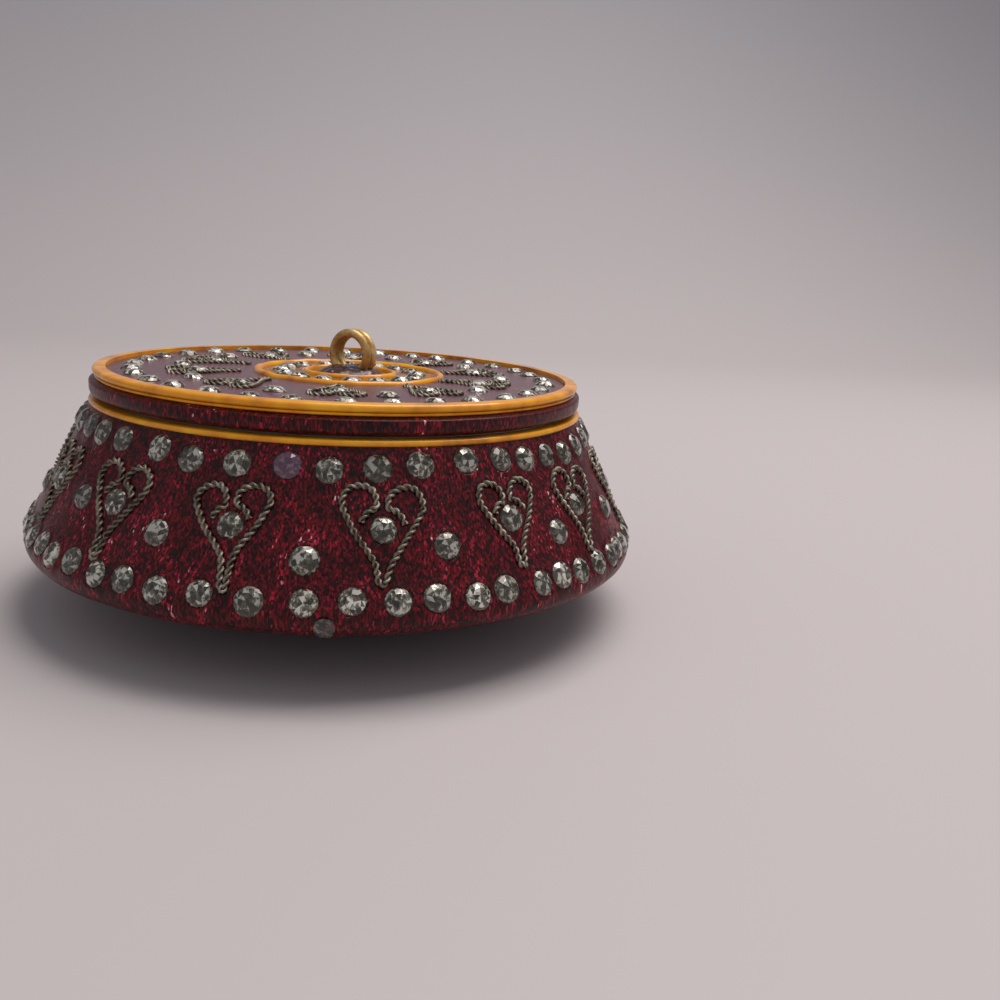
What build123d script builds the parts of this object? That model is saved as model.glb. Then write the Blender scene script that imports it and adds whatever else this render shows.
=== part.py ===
"""Round lidded trinket box: metal liner, lac coat, amber lac rings, pressed stones and wire hearts."""
import os
from math import acos, atan2, cos, hypot, radians, sin

from build123d import *

os.makedirs("parts", exist_ok=True)

# Lac body, revolved about the box's axis. All sizes in millimetres, angles in degrees.
foot_radius = 19.5        # flat face that the box rests on
widest_radius = 40.3      # outermost point of the rounded edge
widest_height = 9.3
edge_round = 2.0
rim_radius = 32.1         # lac wall where it meets the rim ring
wall_top = 26.1
lac_floor = 1.6           # lac under the metal cup
lac_rim = 1.7             # lac outside the cup's neck
lac_belly = 3.1           # lac outside the cup's belly, on the radius
bond_gap = 0.05           # glue line between a curved lac face and what it covers

# Metal cup inside the lac
cup_wall = 0.8
cup_inset = 1.0           # cup's flat floor inside the lac's foot, on the radius
cup_belly_rise = 0.6      # cup's belly above the widest line
neck_length = 2.8         # straight part of the cup's mouth
neck_rise = 0.9           # cup's edge above the lac; it carries the lid

# Amber ring on the rim
rim_ring_proud = 0.2      # stands out past the lac wall
rim_ring_height = 0.75
bead_bevel = 0.3          # share of a bead's height that each bevel takes

# Lid: metal pan with a collar, lac on top, two amber beads round the edge
pan_lap = 0.2             # pan's edge past the cup's neck, on the radius
pan_thickness = 0.7
collar_clearance = 0.4    # collar inside the cup's mouth, on the radius
collar_wall = 0.7
collar_depth = 4.2
collar_chamfer = 0.3
lid_lift = 0.2            # lid lac hangs this far above the cup's edge
lid_thickness = 2.4       # lac over the pan
band_height = 2.1         # lid's burgundy side
band_tuck = 0.7           # drawn in at the side's foot and top
band_bevel = 0.5
bead_step = 2.0           # beads sit in a rebate this far inside the side
lower_bead_inset = 0.6    # beads' outer edges inside the side's fullest line
lower_bead_height = 0.4
upper_bead_inset = 0.35
upper_bead_height = 0.95

# Ring pull: two turns of wire side by side, its foot bedded in a lac mound
pull_ring_radius = 3.3
pull_wire_radius = 0.6
pull_wire_sides = 8
pull_turn_pitch = 1.1
pull_foot = 0.6           # ring's lowest point under the lid's top
pull_angle = 42.0         # ring's axis, turned from straight ahead
hub_radius = 4.4
hub_height = 1.1
hub_crown_radius = 1.6
hub_shoulder = (3.3, 0.7) # radius and height where the mound rounds over
hub_depth = 1.4

# Medallion rings on the lid
outer_ring_radius = 12.3
outer_ring_width = 1.0
inner_ring_radius = 5.9
inner_ring_width = 0.8
ring_height = 0.5

# Glass stones: flat-backed crowns
stone_sides = 8
stone_radius = 1.6
stone_height = 0.85
lid_stone_sides = 6
lid_stone_radius = 1.4
lid_stone_height = 0.7
crown_angle = 38.0

# Rows of stones and hearts, counted round the box; angles run from straight ahead
upper_row_count = 44
upper_row_drop = 1.8      # row's centres below the top of the wall
upper_row_angle = 1.2
lower_row_count = 57
lower_row_rise = 0.9      # row's centres above the rounded edge
lower_row_angle = 1.9
heart_count = 15
heart_angle = 6.0
heart_clearance = 0.18    # hearts clear of both rows
middle_stone_drop = 2.1   # loose stones below the hearts' middle stones
lid_border_count = 32
lid_border_inset = 2.9    # border stones' centres inside the beads' rebate
lid_heart_count = 10
lid_heart_angle = 33.0
lid_heart_scale = 0.8
lid_heart_shift = 0.64    # hearts nearer the medallion than the middle of the space they lie in
lid_loose_inset = 0.25    # loose stones' outer edges inside the hearts' lobes
medallion_count = 16
medallion_radius = 9.1

# Wire hearts, drawn about their middle stone
wire_width = 0.85
wire_proud = 0.5          # stands above the lac in the middle of a heart
wire_bed = 0.45           # reaches back to the curved wall at its sides
heart_foot = 5.15
heart_foot_gap = 0.45
heart_waist = (1.4, -2.1)
lobe_centre = (2.8, 2.55)
lobe_radius = 2.2
lobe_start = -35.0
lobe_steps = 5
curl_radius = 2.64
curl_angles = (55.0, 30.0)
lid_wire_width = 0.7

# Sizes that follow
edge_centre = (widest_radius - edge_round, widest_height)
neck_radius = rim_radius - lac_rim
cup_top = wall_top + neck_rise
pan_radius = neck_radius + pan_lap
pan_top = cup_top + pan_thickness
lid_top = pan_top + lid_thickness
band_radius = rim_radius
bead_seat_radius = band_radius - bead_step
band_foot = cup_top + lid_lift
bead_seat_height = band_foot + band_height


def tangent_angle(point, side):
    """Angle of the radius at which a line from the point touches the rounded edge."""
    across = point[0] - edge_centre[0]
    up = point[1] - edge_centre[1]
    return atan2(up, across) + side * acos(edge_round / hypot(across, up))


# Where the wall and the underside leave the rounded edge, as angles about the edge's centre
wall_tilt = tangent_angle((rim_radius, wall_top), -1)
under_tilt = tangent_angle((foot_radius, 0), 1)


def edge_point(angle, grow=0.0):
    reach = edge_round + grow
    return (edge_centre[0] + reach * cos(angle), edge_centre[1] + reach * sin(angle))


def lac_form(grow=0.0):
    """Solid inside the lac body's outer face, grown outwards by a small amount."""
    middle = (wall_tilt + under_tilt) / 2
    with BuildPart() as form:
        with BuildSketch(Plane.XZ):
            with BuildLine():
                Polyline((0, 0), (foot_radius, 0), edge_point(under_tilt, grow))
                ThreePointArc(
                    edge_point(under_tilt, grow), edge_point(middle, grow), edge_point(wall_tilt, grow)
                )
                Polyline(edge_point(wall_tilt, grow), (rim_radius + grow, wall_top), (0, wall_top), (0, 0))
            make_face()
        revolve(axis=Axis.Z)
    return form.part


def cup_form(grow=0.0, inset=0.0):
    """Solid inside the metal cup's outer face, its radii grown or its walls drawn in by a small amount."""
    belly = (widest_radius - lac_belly, widest_height + cup_belly_rise)
    side = grow - inset
    with BuildPart() as form:
        with BuildSketch(Plane.XZ):
            with BuildLine():
                Polyline(
                    (0, lac_floor + inset),
                    (foot_radius - cup_inset + grow, lac_floor + inset),
                    (belly[0] + side, belly[1]),
                    (neck_radius + side, cup_top - neck_length),
                    (neck_radius + side, cup_top),
                    (0, cup_top),
                    close=True,
                )
            make_face()
        revolve(axis=Axis.Z)
    return form.part


def wall_radius(height):
    """Radius of the lac wall at a height on its straight part."""
    foot = edge_point(wall_tilt)
    share = (height - foot[1]) / (wall_top - foot[1])
    return foot[0] + share * (rim_radius - foot[0])


def wall_seat(turn, height, sunk=0.0):
    """Plane on the wall, x along the rim, y up the wall, z out of it."""
    out = (sin(radians(turn)), -cos(radians(turn)))
    normal = Vector(out[0] * cos(wall_tilt), out[1] * cos(wall_tilt), sin(wall_tilt))
    radius = wall_radius(height)
    origin = Vector(out[0] * radius, out[1] * radius, height) - normal * sunk
    return Plane(origin=origin, x_dir=(cos(radians(turn)), sin(radians(turn)), 0), z_dir=normal)


def lid_seat(turn, radius):
    """Plane on the lid's top, y pointing away from the middle."""
    across = sin(radians(turn))
    ahead = -cos(radians(turn))
    return Plane(origin=(radius * across, radius * ahead, lid_top), x_dir=(ahead, -across, 0), z_dir=(0, 0, 1))


def turns(count, start=0.0):
    return [start + index * 360 / count for index in range(count)]


def stones(seats, radius=lid_stone_radius, height=lid_stone_height, sides=lid_stone_sides):
    """One group of separate stones, one on each seat."""
    with BuildPart() as one:
        with BuildSketch():
            RegularPolygon(radius=radius, side_count=sides)
        extrude(amount=height, taper=crown_angle)
    with BuildPart() as group:
        with Locations(*seats):
            add(one.part, clean=False)
    return group.part


def ring(inside, outside, bottom, height):
    """Flat-footed ring whose outer side is bevelled like a bead."""
    bevel = bead_bevel * height
    top = bottom + height
    with BuildPart() as band:
        with BuildSketch(Plane.XZ):
            with BuildLine():
                Polyline(
                    (inside, bottom),
                    (outside - bevel, bottom),
                    (outside, bottom + bevel),
                    (outside, top - bevel),
                    (outside - bevel, top),
                    (inside, top),
                    close=True,
                )
            make_face()
        revolve(axis=Axis.Z)
    return band.part


def medallion_ring(radius, width):
    """Low ridge lying on the lid's top."""
    with BuildPart() as band:
        with BuildSketch(Plane.XZ):
            with BuildLine():
                Polyline(
                    (radius - width / 2, lid_top),
                    (radius + width / 2, lid_top),
                    (radius + width / 4, lid_top + ring_height),
                    (radius - width / 4, lid_top + ring_height),
                    close=True,
                )
            make_face()
        revolve(axis=Axis.Z)
    return band.part


def heart_path(scale):
    """Centre line of a heart: curl, lobe and side, round the foot, and back up the other half."""
    lobe_turn = (180 - lobe_start) / lobe_steps
    half = [(heart_foot_gap, -heart_foot), heart_waist]
    for step in range(lobe_steps + 1):
        angle = radians(lobe_start + step * lobe_turn)
        half.append((lobe_centre[0] + lobe_radius * cos(angle), lobe_centre[1] + lobe_radius * sin(angle)))
    for angle in curl_angles:
        half.append((curl_radius * cos(radians(angle)), curl_radius * sin(radians(angle))))
    foot = (0, -heart_foot - heart_foot_gap)
    path = [(-x, y) for x, y in reversed(half)] + [foot] + half
    return [Vector(x * scale, y * scale) for x, y in path]


def wire_outline(path, width):
    """Outline of a wire of that width along the path, with mitred corners."""
    left, right = [], []
    for index, point in enumerate(path):
        before = (point - path[index - 1]).normalized() if index else None
        after = (path[index + 1] - point).normalized() if index + 1 < len(path) else before
        before = before or after
        along = (before + after).normalized()
        side = Vector(-along.Y, along.X) * (width / 2 / along.dot(after))
        left.append(point + side)
        right.append(point - side)
    return left + right[::-1]


def hearts(seats, scale, width, height):
    """Wire hearts lying on their seats, each one length of wire bent at the foot."""
    with BuildPart() as group:
        with BuildSketch(*seats):
            with BuildLine():
                Polyline(wire_outline(heart_path(scale), width), close=True)
            make_face()
        extrude(amount=height)
    return group.part


# Metal cup: a spun shell, open at the neck
with BuildPart() as base_cup:
    add(cup_form())
    add(cup_form(inset=cup_wall), mode=Mode.SUBTRACT)
base_cup.part.label = "base_cup"

# Lac coat round the cup, from the foot to the rim
with BuildPart() as base_lac:
    add(lac_form())
    add(cup_form(bond_gap), mode=Mode.SUBTRACT)
base_lac.part.label = "base_lac"

rim_ring = ring(neck_radius + bond_gap, rim_radius + rim_ring_proud, wall_top, rim_ring_height)
rim_ring.label = "rim_ring"

# Stones pressed on the wall
lower_row_height = edge_point(wall_tilt)[1] + lower_row_rise
upper_row_height = wall_top - upper_row_drop
wall_stone = {"radius": stone_radius, "height": stone_height, "sides": stone_sides}

upper_seats = [wall_seat(angle, upper_row_height) for angle in turns(upper_row_count, upper_row_angle)]
upper_row_stones = stones(upper_seats, **wall_stone)
upper_row_stones.label = "upper_row_stones"

lower_seats = [wall_seat(angle, lower_row_height) for angle in turns(lower_row_count, lower_row_angle)]
lower_row_stones = stones(lower_seats, **wall_stone)
lower_row_stones.label = "lower_row_stones"

# Hearts fill the wall between the two rows, their backs cut to the curve of the lac
heart_reach = heart_foot + heart_foot_gap
heart_rise = lobe_centre[1] + lobe_radius
row_span = (upper_row_height - lower_row_height) / cos(wall_tilt)
heart_span = row_span - 2 * (stone_radius + heart_clearance) - wire_width
heart_scale = heart_span / (heart_reach + heart_rise)
foot_up = stone_radius + heart_clearance + wire_width / 2 + heart_reach * heart_scale
heart_height = lower_row_height + foot_up * cos(wall_tilt)
heart_angles = turns(heart_count, heart_angle)
print("heart scale", round(heart_scale, 3), "middle stones at", round(heart_height, 2))

with BuildPart() as heart_wires:
    heart_seats = [wall_seat(angle, heart_height, wire_bed) for angle in heart_angles]
    add(hearts(heart_seats, heart_scale, wire_width, wire_bed + wire_proud))
    add(lac_form(bond_gap), mode=Mode.SUBTRACT)
heart_wires.part.label = "heart_wires"

heart_stones = stones([wall_seat(angle, heart_height) for angle in heart_angles], **wall_stone)
heart_stones.label = "heart_stones"

middle_height = heart_height - middle_stone_drop
middle_seats = [wall_seat(angle, middle_height) for angle in turns(heart_count, heart_angle + 180 / heart_count)]
middle_stones = stones(middle_seats, **wall_stone)
middle_stones.label = "middle_stones"

# Lid pan: a flat disc with a collar that drops into the cup's mouth
collar_radius = neck_radius - cup_wall - collar_clearance
with BuildPart() as lid_pan:
    with BuildSketch(Plane.XY.offset(cup_top)):
        Circle(pan_radius)
    extrude(amount=pan_thickness)
    with BuildSketch(Plane.XY.offset(cup_top)):
        Circle(collar_radius)
        Circle(collar_radius - collar_wall, mode=Mode.SUBTRACT)
    extrude(amount=-collar_depth)
    lip = lid_pan.edges().filter_by(GeomType.CIRCLE).group_by(Axis.Z)[0].sort_by(SortBy.RADIUS)[-1]
    chamfer(lip, collar_chamfer)
lid_pan.part.label = "lid_pan"

# Lid lac: covers the pan's top and edge, rebated for the beads and bored for the hub
with BuildPart() as lid_lac:
    lap = pan_radius + bond_gap
    side_foot = band_radius - band_tuck
    with BuildSketch(Plane.XZ):
        with BuildLine():
            Polyline(
                (0, pan_top),
                (lap, pan_top),
                (lap, band_foot),
                (side_foot, band_foot),
                (band_radius, band_foot + band_bevel),
                (band_radius, bead_seat_height - band_bevel),
                (side_foot, bead_seat_height),
                (bead_seat_radius, bead_seat_height),
                (bead_seat_radius, lid_top),
                (0, lid_top),
                close=True,
            )
        make_face()
    revolve(axis=Axis.Z)
    with BuildSketch(Plane.XY.offset(lid_top)):
        Circle(hub_radius)
    extrude(amount=-hub_depth, mode=Mode.SUBTRACT)
lid_lac.part.label = "lid_lac"

bead_inside = bead_seat_radius + bond_gap
lid_bead_lower = ring(bead_inside, band_radius - lower_bead_inset, bead_seat_height, lower_bead_height)
lid_bead_lower.label = "lid_bead_lower"

upper_bead_bottom = bead_seat_height + lower_bead_height
lid_bead_upper = ring(bead_inside, band_radius - upper_bead_inset, upper_bead_bottom, upper_bead_height)
lid_bead_upper.label = "lid_bead_upper"

# Stones and wires on the lid
border_radius = bead_seat_radius - lid_border_inset
lid_border_stones = stones([lid_seat(angle, border_radius) for angle in turns(lid_border_count)])
lid_border_stones.label = "lid_border_stones"

# Hearts lie between the medallion's outer ring and the border stones
space_middle = (outer_ring_radius + outer_ring_width / 2 + border_radius - lid_stone_radius) / 2
lid_heart_radius = space_middle - lid_heart_shift + (heart_reach - heart_rise) * lid_heart_scale / 2
lid_lobe_radius = lid_heart_radius + heart_rise * lid_heart_scale + lid_wire_width / 2
lid_loose_radius = lid_lobe_radius - lid_loose_inset - lid_stone_radius
print("lid hearts' middle stones at", round(lid_heart_radius, 3), "loose stones at", round(lid_loose_radius, 3))

lid_heart_seats = [lid_seat(angle, lid_heart_radius) for angle in turns(lid_heart_count, lid_heart_angle)]
lid_heart_wires = hearts(lid_heart_seats, lid_heart_scale, lid_wire_width, wire_proud)
lid_heart_wires.label = "lid_heart_wires"

lid_heart_stones = stones(lid_heart_seats)
lid_heart_stones.label = "lid_heart_stones"

loose_angles = turns(lid_heart_count, lid_heart_angle + 180 / lid_heart_count)
lid_loose_stones = stones([lid_seat(angle, lid_loose_radius) for angle in loose_angles])
lid_loose_stones.label = "lid_loose_stones"

medallion_stones = stones([lid_seat(angle, medallion_radius) for angle in turns(medallion_count)])
medallion_stones.label = "medallion_stones"

medallion_outer_ring = medallion_ring(outer_ring_radius, outer_ring_width)
medallion_outer_ring.label = "medallion_outer_ring"
medallion_inner_ring = medallion_ring(inner_ring_radius, inner_ring_width)
medallion_inner_ring.label = "medallion_inner_ring"

# Ring pull: the profile of two wires side by side, turned about a level axis
pull_centre = lid_top - pull_foot + pull_ring_radius
pull_axis = (-sin(radians(pull_angle)), -cos(radians(pull_angle)), 0)
pull_side = (-pull_axis[1], pull_axis[0], 0)


def pull_form(grow=0.0):
    wire_ring = pull_ring_radius - pull_wire_radius
    with BuildPart() as form:
        with BuildSketch(Plane(origin=(0, 0, pull_centre), x_dir=pull_axis, z_dir=pull_side)):
            with Locations((-pull_turn_pitch / 2, wire_ring), (pull_turn_pitch / 2, wire_ring)):
                half_turn = 180 / pull_wire_sides
                RegularPolygon(pull_wire_radius + grow, pull_wire_sides, major_radius=False, rotation=half_turn)
        revolve(axis=Axis((0, 0, pull_centre), pull_axis))
    return form.part


pull_ring = pull_form()
pull_ring.label = "pull_ring"

# Lac mound that fills the bore in the lid and holds the ring's foot
with BuildPart() as pull_hub:
    hub_bottom = lid_top - hub_depth
    hub_side = hub_radius - bond_gap
    with BuildSketch(Plane.XZ):
        with BuildLine():
            Polyline(
                (0, hub_bottom),
                (hub_side, hub_bottom),
                (hub_side, lid_top),
                (hub_shoulder[0], lid_top + hub_shoulder[1]),
                (hub_crown_radius, lid_top + hub_height),
                (0, lid_top + hub_height),
                close=True,
            )
        make_face()
    revolve(axis=Axis.Z)
    add(pull_form(bond_gap), mode=Mode.SUBTRACT)
pull_hub.part.label = "pull_hub"

pieces = [
    base_cup.part, base_lac.part, rim_ring,
    upper_row_stones, lower_row_stones, heart_stones, middle_stones, heart_wires.part,
    lid_pan.part, lid_lac.part, lid_bead_lower, lid_bead_upper,
    lid_border_stones, lid_heart_wires, lid_heart_stones, lid_loose_stones,
    medallion_outer_ring, medallion_stones, medallion_inner_ring,
    pull_hub.part, pull_ring,
]
for piece in pieces:
    export_step(piece, f"parts/{piece.label}.step")
    print(piece.label, len(piece.solids()), "solids", round(piece.volume, 1), "mm3")
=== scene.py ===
import random
from math import acos, atan2, cos, hypot, pi, radians, sin, tau

import bmesh
import bpy
import numpy as np
from mathutils import Matrix, Vector, kdtree, noise


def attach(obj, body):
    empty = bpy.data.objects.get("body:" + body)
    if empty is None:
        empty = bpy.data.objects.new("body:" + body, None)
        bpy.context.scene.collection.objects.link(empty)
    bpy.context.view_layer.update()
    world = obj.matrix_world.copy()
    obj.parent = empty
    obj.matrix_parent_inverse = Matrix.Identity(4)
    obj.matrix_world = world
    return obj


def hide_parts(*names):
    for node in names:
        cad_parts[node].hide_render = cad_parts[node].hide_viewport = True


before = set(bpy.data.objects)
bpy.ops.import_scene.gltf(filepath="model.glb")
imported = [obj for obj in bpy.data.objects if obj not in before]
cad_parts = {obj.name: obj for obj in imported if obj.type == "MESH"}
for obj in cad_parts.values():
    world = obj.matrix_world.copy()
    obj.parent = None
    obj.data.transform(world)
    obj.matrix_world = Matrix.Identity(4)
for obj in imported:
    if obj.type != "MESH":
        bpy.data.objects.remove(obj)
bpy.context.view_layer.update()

mm = 0.001             # sizes below are in millimetres, angles in degrees
box, lid = "box", "lid"

# Camera, fitted to the real size and to the rims; its angles are in radians
camera = {"place": (0, -137.77, 46.67), "yaw": 0.16258, "pitch": 0.23829, "roll": 0.06095, "lens": 36,
          "sensor": 36, "nearest": 0.01}

ahead = Vector((sin(camera["yaw"]) * cos(camera["pitch"]), cos(camera["yaw"]) * cos(camera["pitch"]),
                -sin(camera["pitch"])))
across = Vector((cos(camera["yaw"]), -sin(camera["yaw"]), 0))
above = across.cross(ahead)
right = across * cos(camera["roll"]) + above * sin(camera["roll"])
upward = above * cos(camera["roll"]) - across * sin(camera["roll"])
cameraData = bpy.data.cameras.new("camera")
cameraData.lens, cameraData.sensor_width = camera["lens"], camera["sensor"]
cameraData.clip_start = camera["nearest"]
cameraObject = bpy.data.objects.new("camera", cameraData)
bpy.context.scene.collection.objects.link(cameraObject)
turned = Matrix((right, upward, -ahead)).transposed().to_4x4()
cameraObject.matrix_world = Matrix.Translation(Vector(camera["place"]) * mm) @ turned
bpy.context.scene.camera = cameraObject
bpy.context.scene.view_settings.view_transform = "Standard"
print("camera placed")


# Small helpers

def linear(hexColour):
    parts = [int(hexColour[i:i + 2], 16) / 255 for i in (1, 3, 5)]
    return [p / 12.92 if p <= 0.04045 else ((p + 0.055) / 1.055) ** 2.4 for p in parts] + [1.0]


def perMm(size):
    return 1 / (size * mm)


# Sets a node's inputs. Each is a value, a hex colour, a node (its first output), a (node, output name) pair,
# or a list of nodes. Where inputs share a name, the key is the input's number.
def feed(tree, node, inputs):
    for name, value in inputs.items():
        live = [s for s in node.inputs if s.enabled]
        socket = live[name] if isinstance(name, int) else next(s for s in live if s.name == name)
        for one in value if isinstance(value, list) else [value]:
            if isinstance(one, bpy.types.Node):
                one = (one, None)
            if isinstance(one, tuple) and isinstance(one[0], bpy.types.Node):
                source = next(s for s in one[0].outputs if s.enabled and one[1] in (None, s.name))
                tree.links.new(source, socket)
            else:
                socket.default_value = linear(one) if isinstance(one, str) and one[:1] == "#" else one


# Adds one node. A colour ramp takes the places and colours of the dictionary given as ramp.
def addNode(tree, kind, inputs={}, ramp=None, **settings):
    node = tree.nodes.new(kind)
    for name, value in settings.items():
        setattr(node, name, value)
    feed(tree, node, inputs)
    if ramp:
        elements = node.color_ramp.elements
        while len(elements) < len(ramp["places"]):
            elements.new(0.5)
        for element, place, colour in zip(elements, ramp["places"], ramp["colours"]):
            element.position = place
            element.color = linear(colour)
    return node


# A material, its tree, its shader and a node that gives object coordinates
def startMaterial(name, sockets):
    material = bpy.data.materials.new(name)
    material.use_nodes = True
    tree = material.node_tree
    shader = tree.nodes["Principled BSDF"]
    feed(tree, shader, sockets)
    return material, tree, shader, addNode(tree, "ShaderNodeTexCoord")


def newPiece(name, mesh, body, slotName, *replaced):
    piece = bpy.data.objects.new(name, mesh)
    bpy.context.scene.collection.objects.link(piece)
    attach(piece, body)
    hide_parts(*replaced)


# Materials. Object coordinates are metres in the shared frame, so a scale is 1 over a size in metres. In each
# dictionary the sizes are in millimetres, and "places" are where the ramp's "colours" stand.

# Shellac rolled with cut foil glitter: deep wine red, full of thin upright red flecks and a few pink
# glints, under a hand-polished, slightly uneven gloss
glitter = {"fleck": 0.18, "drawnOut": 0.28, "patch": 3.0, "patchShift": (-0.3, 0.05),
           "places": (0.0, 0.42, 0.78, 0.95, 1.0), "foilFrom": 0.7, "foilTo": 0.95, "foilMetal": 0.5,
           "rough": (0.34, 0.5), "swell": 0.9, "swellDepth": 0.1,
           "wall": ["#1C0204", "#42050C", "#720C1A", "#BE2C46", "#F4C6C8"],
           "golden": ["#4A2608", "#85501A", "#B87C28", "#E0AC48", "#F8E4B0"],
           # lid top: worn, dusty lac whose lighter mauve colours also paint a grazing reflection of the room
           "wornSheen": ["#3E1B24", "#5E3440", "#7A4652", "#A8707C", "#F4DCDC"]}


def makeGlitterLac(name, colours, coat, coatRoughness):
    look = {"Coat Weight": coat, "Coat Roughness": coatRoughness, "IOR": 1.5, "Specular IOR Level": 0.15}
    material, tree, shader, place = startMaterial(name, look)
    drawn = addNode(tree, "ShaderNodeMapping", {"Vector": (place, "Object"),
                                                "Scale": (1, 1, glitter["drawnOut"])})
    flecks = addNode(tree, "ShaderNodeTexVoronoi", {"Vector": drawn, "Scale": perMm(glitter["fleck"])})
    chance = addNode(tree, "ShaderNodeSeparateColor", {"Color": (flecks, "Color")})
    patches = addNode(tree, "ShaderNodeTexNoise", {"Vector": drawn, "Scale": perMm(glitter["patch"]),
                                                   "Detail": 4.0, "Roughness": 0.65})
    low, high = glitter["patchShift"]
    spread = addNode(tree, "ShaderNodeMapRange", {"Value": patches, "From Min": 0.3, "From Max": 0.7,
                                                  "To Min": low, "To Max": high})
    level = addNode(tree, "ShaderNodeMath", {0: (chance, "Red"), 1: spread}, operation="ADD")
    colour = addNode(tree, "ShaderNodeValToRGB", {"Fac": level},
                     ramp={"places": glitter["places"], "colours": colours})
    shine = addNode(tree, "ShaderNodeMapRange", {"Value": level, "From Min": glitter["foilFrom"],
                                                 "From Max": glitter["foilTo"], "To Min": 0.0,
                                                 "To Max": glitter["foilMetal"]})
    smooth, dim = glitter["rough"]
    rough = addNode(tree, "ShaderNodeMapRange", {"Value": patches, "From Min": 0.3, "From Max": 0.7,
                                                 "To Min": smooth, "To Max": dim})
    swell = addNode(tree, "ShaderNodeTexNoise", {"Vector": drawn, "Scale": perMm(glitter["swell"]),
                                                 "Detail": 3.0})
    bump = addNode(tree, "ShaderNodeBump", {"Height": swell, "Strength": 0.3,
                                            "Distance": glitter["swellDepth"] * mm})
    feed(tree, shader, {"Base Color": colour, "Metallic": shine, "Roughness": rough, "Normal": bump})
    return material


burgundyLac = makeGlitterLac("shellacBurgundyGlitter", glitter["wall"], 0.2, 0.15)
# The medallion's ground is rolled over with amber shellac, so the same glitter shows through golden brown
goldenLac = makeGlitterLac("shellacGoldenGlitter", glitter["golden"], 0.6, 0.2)
# The lid's top is handled most: its glitter lac is worn and dusty, and its lighter mauve colours also paint a
# hazy grazing reflection of the bright room, a painted sheen
wornPaintedSheenLac = makeGlitterLac("shellacWornPaintedSheenGlitter", glitter["wornSheen"], 0.7, 0.3)


# Plain shellac, melted on as a bead and polished: warm amber, with faint clouds and a wet gloss
amber = {"cloud": 5.0, "speck": 0.5, "speckDepth": 0.06, "places": (0.3, 0.48, 0.66),
         "colours": ("#B46A06", "#EC9806", "#FFB614")}


def makeAmberLac():
    look = {"Coat Weight": 0.5, "Coat Roughness": 0.08, "IOR": 1.52, "Roughness": 0.35,
            "Specular IOR Level": 0.3}
    material, tree, shader, place = startMaterial("shellacAmber", look)
    clouds = addNode(tree, "ShaderNodeTexNoise", {"Vector": (place, "Object"),
                                                  "Scale": perMm(amber["cloud"]), "Detail": 5.0,
                                                  "Roughness": 0.6})
    colour = addNode(tree, "ShaderNodeValToRGB", {"Fac": clouds}, ramp=amber)
    specks = addNode(tree, "ShaderNodeTexNoise", {"Vector": (place, "Object"),
                                                  "Scale": perMm(amber["speck"])})
    bump = addNode(tree, "ShaderNodeBump", {"Height": specks, "Strength": 0.15,
                                            "Distance": amber["speckDepth"] * mm})
    feed(tree, shader, {"Base Color": colour, "Normal": bump})
    return material


amberLac = makeAmberLac()


# Dark shellac with a little glitter, pushed round the ring's foot while soft: near black and lumpy
dark = {"fleck": 0.35, "lump": 0.7, "lumpDepth": 0.15, "places": (0.0, 0.7, 0.92, 1.0),
        "colours": ("#16060A", "#2E0C14", "#5A2030", "#B88A8C")}


def makeDarkLac():
    look = {"Coat Weight": 0.5, "Coat Roughness": 0.2, "Roughness": 0.45}
    material, tree, shader, place = startMaterial("shellacDark", look)
    flecks = addNode(tree, "ShaderNodeTexVoronoi", {"Vector": (place, "Object"),
                                                    "Scale": perMm(dark["fleck"])})
    chance = addNode(tree, "ShaderNodeSeparateColor", {"Color": (flecks, "Color")})
    colour = addNode(tree, "ShaderNodeValToRGB", {"Fac": (chance, "Red")}, ramp=dark)
    lumps = addNode(tree, "ShaderNodeTexNoise", {"Vector": (place, "Object"), "Scale": perMm(dark["lump"]),
                                                 "Detail": 3.0})
    bump = addNode(tree, "ShaderNodeBump", {"Height": lumps, "Strength": 0.5,
                                            "Distance": dark["lumpDepth"] * mm})
    feed(tree, shader, {"Base Color": colour, "Normal": bump})
    return material


darkLac = makeDarkLac()


# Foil-backed pressed glass. Its base colour paints each facet's reflection white or dark, as painted glints,
# mottled where the foil is creased, and a greyer ring at the girdle paints the glass edge's reflection.
# "facet", "girdle", "tint" and the darkening value are attributes of the stones' mesh.
glass = {"crease": 0.5, "drawnOut": 0.55, "creaseShare": 0.95, "facetShare": 0.45, "ringFrom": 0.75,
         "ringShare": 0.7, "places": (0.42, 0.60, 0.77, 0.86), "ring": "#5E5848", "plum": "#5A3050",
         # dark grey that paints shade over whole stones
         "dim": "#2E2A20", "colours": ("#12110A", "#3C372A", "#867E6C", "#F6F4E8")}


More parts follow.
